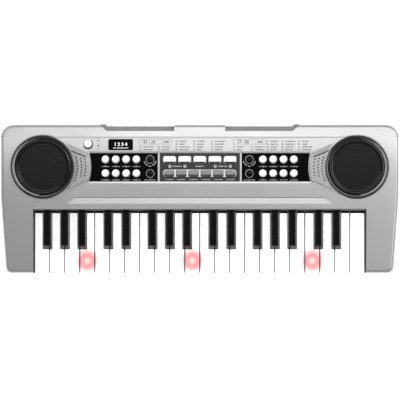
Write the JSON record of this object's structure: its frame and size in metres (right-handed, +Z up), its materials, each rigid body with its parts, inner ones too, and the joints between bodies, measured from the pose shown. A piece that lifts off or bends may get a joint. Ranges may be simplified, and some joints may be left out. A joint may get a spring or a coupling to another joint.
{
  "type": "toy electronic keyboard",
  "caption": "Toy electronic keyboard with mini piano keys that rock on a rail, round speakers, a button panel with drum pads, and a battery bay with a hinged door underneath.",
  "frame": {"origin": "middle of the footprint, on the surface that the feet stand on", "axes": "+X to the player's right along the keys, +Y away from the player, +Z up"},
  "size_m": [0.43, 0.1612, 0.0437],
  "materials": {
    "silver_plastic": "silver-painted ABS with a fine satin grain",
    "panel_black": "polished black acrylic panel",
    "button_white": "white moulded ABS, semi-gloss",
    "button_black": "black moulded ABS, glossy dome",
    "pad_rubber": "grey silicone rubber, matte",
    "grille_black": "black plastic ring round a fine perforated mesh",
    "speaker_steel": "pressed steel speaker frame and magnet",
    "circuit_board": "green glass-epoxy circuit board",
    "key_white": "white moulded ABS, smooth and glossy",
    "key_black": "black moulded ABS, glossy"
  },
  "bodies": {
    "case": {"upper_case": "silver_plastic", "lower_case": "silver_plastic", "contact_board": "circuit_board", "main_board": "circuit_board", "control_panel": "panel_black", "grille_left": "grille_black", "grille_right": "grille_black", "driver_left": "speaker_steel", "driver_right": "speaker_steel"},
    "battery_door": {"battery_door": "silver_plastic"},
    "power_button": {"power_button": "button_white"},
    "tone_buttons": {"tone_buttons": "button_white"},
    "rhythm_buttons": {"rhythm_buttons": "button_white"},
    "drum_pads": {"drum_pads": "pad_rubber"},
    "bar_button_01": {"bar_button_01": "button_white"},
    "bar_button_02": {"bar_button_02": "button_white"},
    "bar_button_03": {"bar_button_03": "button_white"},
    "bar_button_04": {"bar_button_04": "button_white"},
    "bar_button_05": {"bar_button_05": "button_white"},
    "dome_button_01": {"dome_button_01": "button_black"},
    "dome_button_02": {"dome_button_02": "button_black"},
    "dome_button_03": {"dome_button_03": "button_black"},
    "dome_button_04": {"dome_button_04": "button_black"},
    "white_key_01": {"white_key_01": "key_white"},
    "white_key_02": {"white_key_02": "key_white"},
    "white_key_03": {"white_key_03": "key_white"},
    "white_key_04": {"white_key_04": "key_white"},
    "white_key_05": {"white_key_05": "key_white"},
    "white_key_06": {"white_key_06": "key_white"},
    "white_key_07": {"white_key_07": "key_white"},
    "white_key_08": {"white_key_08": "key_white"},
    "white_key_09": {"white_key_09": "key_white"},
    "white_key_10": {"white_key_10": "key_white"},
    "white_key_11": {"white_key_11": "key_white"},
    "white_key_12": {"white_key_12": "key_white"},
    "white_key_13": {"white_key_13": "key_white"},
    "white_key_14": {"white_key_14": "key_white"},
    "white_key_15": {"white_key_15": "key_white"},
    "white_key_16": {"white_key_16": "key_white"},
    "white_key_17": {"white_key_17": "key_white"},
    "white_key_18": {"white_key_18": "key_white"},
    "white_key_19": {"white_key_19": "key_white"},
    "white_key_20": {"white_key_20": "key_white"},
    "white_key_21": {"white_key_21": "key_white"},
    "white_key_22": {"white_key_22": "key_white"},
    "black_key_01": {"black_key_01": "key_black"},
    "black_key_02": {"black_key_02": "key_black"},
    "black_key_03": {"black_key_03": "key_black"},
    "black_key_04": {"black_key_04": "key_black"},
    "black_key_05": {"black_key_05": "key_black"},
    "black_key_06": {"black_key_06": "key_black"},
    "black_key_07": {"black_key_07": "key_black"},
    "black_key_08": {"black_key_08": "key_black"},
    "black_key_09": {"black_key_09": "key_black"},
    "black_key_10": {"black_key_10": "key_black"},
    "black_key_11": {"black_key_11": "key_black"},
    "black_key_12": {"black_key_12": "key_black"},
    "black_key_13": {"black_key_13": "key_black"},
    "black_key_14": {"black_key_14": "key_black"},
    "black_key_15": {"black_key_15": "key_black"}
  },
  "joints": [
    {"name": "battery_door_hinge", "type": "hinge", "parent": "case", "child": "battery_door", "pos_m": [0, 0.0462, 0.002], "axis": [1, 0, 0], "range_deg": [0, 80]},
    {"name": "power_button_press", "type": "slide", "parent": "case", "child": "power_button", "axis": [0, 0.0872, -0.9962], "range_m": [0, 0.0012], "stiffness_N_per_m": 500, "springref_m": -0.0015},
    {"name": "tone_buttons_press", "type": "slide", "parent": "case", "child": "tone_buttons", "axis": [0, 0.0872, -0.9962], "range_m": [0, 0.0012], "stiffness_N_per_m": 600, "springref_m": -0.0015},
    {"name": "rhythm_buttons_press", "type": "slide", "parent": "case", "child": "rhythm_buttons", "axis": [0, 0.0872, -0.9962], "range_m": [0, 0.0012], "stiffness_N_per_m": 600, "springref_m": -0.0015},
    {"name": "drum_pads_press", "type": "slide", "parent": "case", "child": "drum_pads", "axis": [0, 0.0872, -0.9962], "range_m": [0, 0.001], "stiffness_N_per_m": 500, "springref_m": -0.0015},
    {"name": "bar_button_01_press", "type": "slide", "parent": "case", "child": "bar_button_01", "axis": [0, 0.0872, -0.9962], "range_m": [0, 0.0012], "stiffness_N_per_m": 400, "springref_m": -0.0015},
    {"name": "bar_button_02_press", "type": "slide", "parent": "case", "child": "bar_button_02", "axis": [0, 0.0872, -0.9962], "range_m": [0, 0.0012], "stiffness_N_per_m": 400, "springref_m": -0.0015},
    {"name": "bar_button_03_press", "type": "slide", "parent": "case", "child": "bar_button_03", "axis": [0, 0.0872, -0.9962], "range_m": [0, 0.0012], "stiffness_N_per_m": 400, "springref_m": -0.0015},
    {"name": "bar_button_04_press", "type": "slide", "parent": "case", "child": "bar_button_04", "axis": [0, 0.0872, -0.9962], "range_m": [0, 0.0012], "stiffness_N_per_m": 400, "springref_m": -0.0015},
    {"name": "bar_button_05_press", "type": "slide", "parent": "case", "child": "bar_button_05", "axis": [0, 0.0872, -0.9962], "range_m": [0, 0.0012], "stiffness_N_per_m": 400, "springref_m": -0.0015},
    {"name": "dome_button_01_press", "type": "slide", "parent": "case", "child": "dome_button_01", "axis": [0, 0.0872, -0.9962], "range_m": [0, 0.0012], "stiffness_N_per_m": 400, "springref_m": -0.0015},
    {"name": "dome_button_02_press", "type": "slide", "parent": "case", "child": "dome_button_02", "axis": [0, 0.0872, -0.9962], "range_m": [0, 0.0012], "stiffness_N_per_m": 400, "springref_m": -0.0015},
    {"name": "dome_button_03_press", "type": "slide", "parent": "case", "child": "dome_button_03", "axis": [0, 0.0872, -0.9962], "range_m": [0, 0.0012], "stiffness_N_per_m": 400, "springref_m": -0.0015},
    {"name": "dome_button_04_press", "type": "slide", "parent": "case", "child": "dome_button_04", "axis": [0, 0.0872, -0.9962], "range_m": [0, 0.0012], "stiffness_N_per_m": 400, "springref_m": -0.0015},
    {"name": "white_key_01_press", "type": "hinge", "parent": "case", "child": "white_key_01", "pos_m": [0, 0.00605, 0.021], "axis": [1, 0, 0], "range_deg": [0, 3], "stiffness_Nm_per_rad": 0.5, "springref_deg": -2.86},
    {"name": "black_key_01_press", "type": "hinge", "parent": "case", "child": "black_key_01", "pos_m": [0, 0.00605, 0.021], "axis": [1, 0, 0], "range_deg": [0, 3], "stiffness_Nm_per_rad": 0.5, "springref_deg": -2.86},
    {"name": "white_key_04_press", "type": "hinge", "parent": "case", "child": "white_key_04", "pos_m": [0, 0.00605, 0.021], "axis": [1, 0, 0], "range_deg": [0, 3], "stiffness_Nm_per_rad": 0.5, "springref_deg": -2.86},
    {"name": "white_key_11_press", "type": "hinge", "parent": "case", "child": "white_key_11", "pos_m": [0, 0.00605, 0.021], "axis": [1, 0, 0], "range_deg": [0, 3], "stiffness_Nm_per_rad": 0.5, "springref_deg": -2.86},
    {"name": "black_key_08_press", "type": "hinge", "parent": "case", "child": "black_key_08", "pos_m": [0, 0.00605, 0.021], "axis": [1, 0, 0], "range_deg": [0, 3], "stiffness_Nm_per_rad": 0.5, "springref_deg": -2.86},
    {"name": "white_key_22_press", "type": "hinge", "parent": "case", "child": "white_key_22", "pos_m": [0, 0.00605, 0.021], "axis": [1, 0, 0], "range_deg": [0, 3], "stiffness_Nm_per_rad": 0.5, "springref_deg": -2.86},
    {"name": "white_key_02_press", "type": "hinge", "parent": "case", "child": "white_key_02", "pos_m": [0, 0.00605, 0.021], "axis": [1, 0, 0], "range_deg": [0, 3], "stiffness_Nm_per_rad": 0.5, "springref_deg": -2.86},
    {"name": "white_key_03_press", "type": "hinge", "parent": "case", "child": "white_key_03", "pos_m": [0, 0.00605, 0.021], "axis": [1, 0, 0], "range_deg": [0, 3], "stiffness_Nm_per_rad": 0.5, "springref_deg": -2.86},
    {"name": "white_key_05_press", "type": "hinge", "parent": "case", "child": "white_key_05", "pos_m": [0, 0.00605, 0.021], "axis": [1, 0, 0], "range_deg": [0, 3], "stiffness_Nm_per_rad": 0.5, "springref_deg": -2.86},
    {"name": "white_key_06_press", "type": "hinge", "parent": "case", "child": "white_key_06", "pos_m": [0, 0.00605, 0.021], "axis": [1, 0, 0], "range_deg": [0, 3], "stiffness_Nm_per_rad": 0.5, "springref_deg": -2.86},
    {"name": "white_key_07_press", "type": "hinge", "parent": "case", "child": "white_key_07", "pos_m": [0, 0.00605, 0.021], "axis": [1, 0, 0], "range_deg": [0, 3], "stiffness_Nm_per_rad": 0.5, "springref_deg": -2.86},
    {"name": "white_key_08_press", "type": "hinge", "parent": "case", "child": "white_key_08", "pos_m": [0, 0.00605, 0.021], "axis": [1, 0, 0], "range_deg": [0, 3], "stiffness_Nm_per_rad": 0.5, "springref_deg": -2.86},
    {"name": "white_key_09_press", "type": "hinge", "parent": "case", "child": "white_key_09", "pos_m": [0, 0.00605, 0.021], "axis": [1, 0, 0], "range_deg": [0, 3], "stiffness_Nm_per_rad": 0.5, "springref_deg": -2.86},
    {"name": "white_key_10_press", "type": "hinge", "parent": "case", "child": "white_key_10", "pos_m": [0, 0.00605, 0.021], "axis": [1, 0, 0], "range_deg": [0, 3], "stiffness_Nm_per_rad": 0.5, "springref_deg": -2.86},
    {"name": "white_key_12_press", "type": "hinge", "parent": "case", "child": "white_key_12", "pos_m": [0, 0.00605, 0.021], "axis": [1, 0, 0], "range_deg": [0, 3], "stiffness_Nm_per_rad": 0.5, "springref_deg": -2.86},
    {"name": "white_key_13_press", "type": "hinge", "parent": "case", "child": "white_key_13", "pos_m": [0, 0.00605, 0.021], "axis": [1, 0, 0], "range_deg": [0, 3], "stiffness_Nm_per_rad": 0.5, "springref_deg": -2.86},
    {"name": "white_key_14_press", "type": "hinge", "parent": "case", "child": "white_key_14", "pos_m": [0, 0.00605, 0.021], "axis": [1, 0, 0], "range_deg": [0, 3], "stiffness_Nm_per_rad": 0.5, "springref_deg": -2.86},
    {"name": "white_key_15_press", "type": "hinge", "parent": "case", "child": "white_key_15", "pos_m": [0, 0.00605, 0.021], "axis": [1, 0, 0], "range_deg": [0, 3], "stiffness_Nm_per_rad": 0.5, "springref_deg": -2.86},
    {"name": "white_key_16_press", "type": "hinge", "parent": "case", "child": "white_key_16", "pos_m": [0, 0.00605, 0.021], "axis": [1, 0, 0], "range_deg": [0, 3], "stiffness_Nm_per_rad": 0.5, "springref_deg": -2.86},
    {"name": "white_key_17_press", "type": "hinge", "parent": "case", "child": "white_key_17", "pos_m": [0, 0.00605, 0.021], "axis": [1, 0, 0], "range_deg": [0, 3], "stiffness_Nm_per_rad": 0.5, "springref_deg": -2.86},
    {"name": "white_key_18_press", "type": "hinge", "parent": "case", "child": "white_key_18", "pos_m": [0, 0.00605, 0.021], "axis": [1, 0, 0], "range_deg": [0, 3], "stiffness_Nm_per_rad": 0.5, "springref_deg": -2.86},
    {"name": "white_key_19_press", "type": "hinge", "parent": "case", "child": "white_key_19", "pos_m": [0, 0.00605, 0.021], "axis": [1, 0, 0], "range_deg": [0, 3], "stiffness_Nm_per_rad": 0.5, "springref_deg": -2.86},
    {"name": "white_key_20_press", "type": "hinge", "parent": "case", "child": "white_key_20", "pos_m": [0, 0.00605, 0.021], "axis": [1, 0, 0], "range_deg": [0, 3], "stiffness_Nm_per_rad": 0.5, "springref_deg": -2.86},
    {"name": "white_key_21_press", "type": "hinge", "parent": "case", "child": "white_key_21", "pos_m": [0, 0.00605, 0.021], "axis": [1, 0, 0], "range_deg": [0, 3], "stiffness_Nm_per_rad": 0.5, "springref_deg": -2.86},
    {"name": "black_key_02_press", "type": "hinge", "parent": "case", "child": "black_key_02", "pos_m": [0, 0.00605, 0.021], "axis": [1, 0, 0], "range_deg": [0, 3], "stiffness_Nm_per_rad": 0.5, "springref_deg": -2.86},
    {"name": "black_key_03_press", "type": "hinge", "parent": "case", "child": "black_key_03", "pos_m": [0, 0.00605, 0.021], "axis": [1, 0, 0], "range_deg": [0, 3], "stiffness_Nm_per_rad": 0.5, "springref_deg": -2.86},
    {"name": "black_key_04_press", "type": "hinge", "parent": "case", "child": "black_key_04", "pos_m": [0, 0.00605, 0.021], "axis": [1, 0, 0], "range_deg": [0, 3], "stiffness_Nm_per_rad": 0.5, "springref_deg": -2.86},
    {"name": "black_key_05_press", "type": "hinge", "parent": "case", "child": "black_key_05", "pos_m": [0, 0.00605, 0.021], "axis": [1, 0, 0], "range_deg": [0, 3], "stiffness_Nm_per_rad": 0.5, "springref_deg": -2.86},
    {"name": "black_key_06_press", "type": "hinge", "parent": "case", "child": "black_key_06", "pos_m": [0, 0.00605, 0.021], "axis": [1, 0, 0], "range_deg": [0, 3], "stiffness_Nm_per_rad": 0.5, "springref_deg": -2.86},
    {"name": "black_key_07_press", "type": "hinge", "parent": "case", "child": "black_key_07", "pos_m": [0, 0.00605, 0.021], "axis": [1, 0, 0], "range_deg": [0, 3], "stiffness_Nm_per_rad": 0.5, "springref_deg": -2.86},
    {"name": "black_key_09_press", "type": "hinge", "parent": "case", "child": "black_key_09", "pos_m": [0, 0.00605, 0.021], "axis": [1, 0, 0], "range_deg": [0, 3], "stiffness_Nm_per_rad": 0.5, "springref_deg": -2.86},
    {"name": "black_key_10_press", "type": "hinge", "parent": "case", "child": "black_key_10", "pos_m": [0, 0.00605, 0.021], "axis": [1, 0, 0], "range_deg": [0, 3], "stiffness_Nm_per_rad": 0.5, "springref_deg": -2.86},
    {"name": "black_key_11_press", "type": "hinge", "parent": "case", "child": "black_key_11", "pos_m": [0, 0.00605, 0.021], "axis": [1, 0, 0], "range_deg": [0, 3], "stiffness_Nm_per_rad": 0.5, "springref_deg": -2.86},
    {"name": "black_key_12_press", "type": "hinge", "parent": "case", "child": "black_key_12", "pos_m": [0, 0.00605, 0.021], "axis": [1, 0, 0], "range_deg": [0, 3], "stiffness_Nm_per_rad": 0.5, "springref_deg": -2.86},
    {"name": "black_key_13_press", "type": "hinge", "parent": "case", "child": "black_key_13", "pos_m": [0, 0.00605, 0.021], "axis": [1, 0, 0], "range_deg": [0, 3], "stiffness_Nm_per_rad": 0.5, "springref_deg": -2.86},
    {"name": "black_key_14_press", "type": "hinge", "parent": "case", "child": "black_key_14", "pos_m": [0, 0.00605, 0.021], "axis": [1, 0, 0], "range_deg": [0, 3], "stiffness_Nm_per_rad": 0.5, "springref_deg": -2.86},
    {"name": "black_key_15_press", "type": "hinge", "parent": "case", "child": "black_key_15", "pos_m": [0, 0.00605, 0.021], "axis": [1, 0, 0], "range_deg": [0, 3], "stiffness_Nm_per_rad": 0.5, "springref_deg": -2.86}
  ]
}
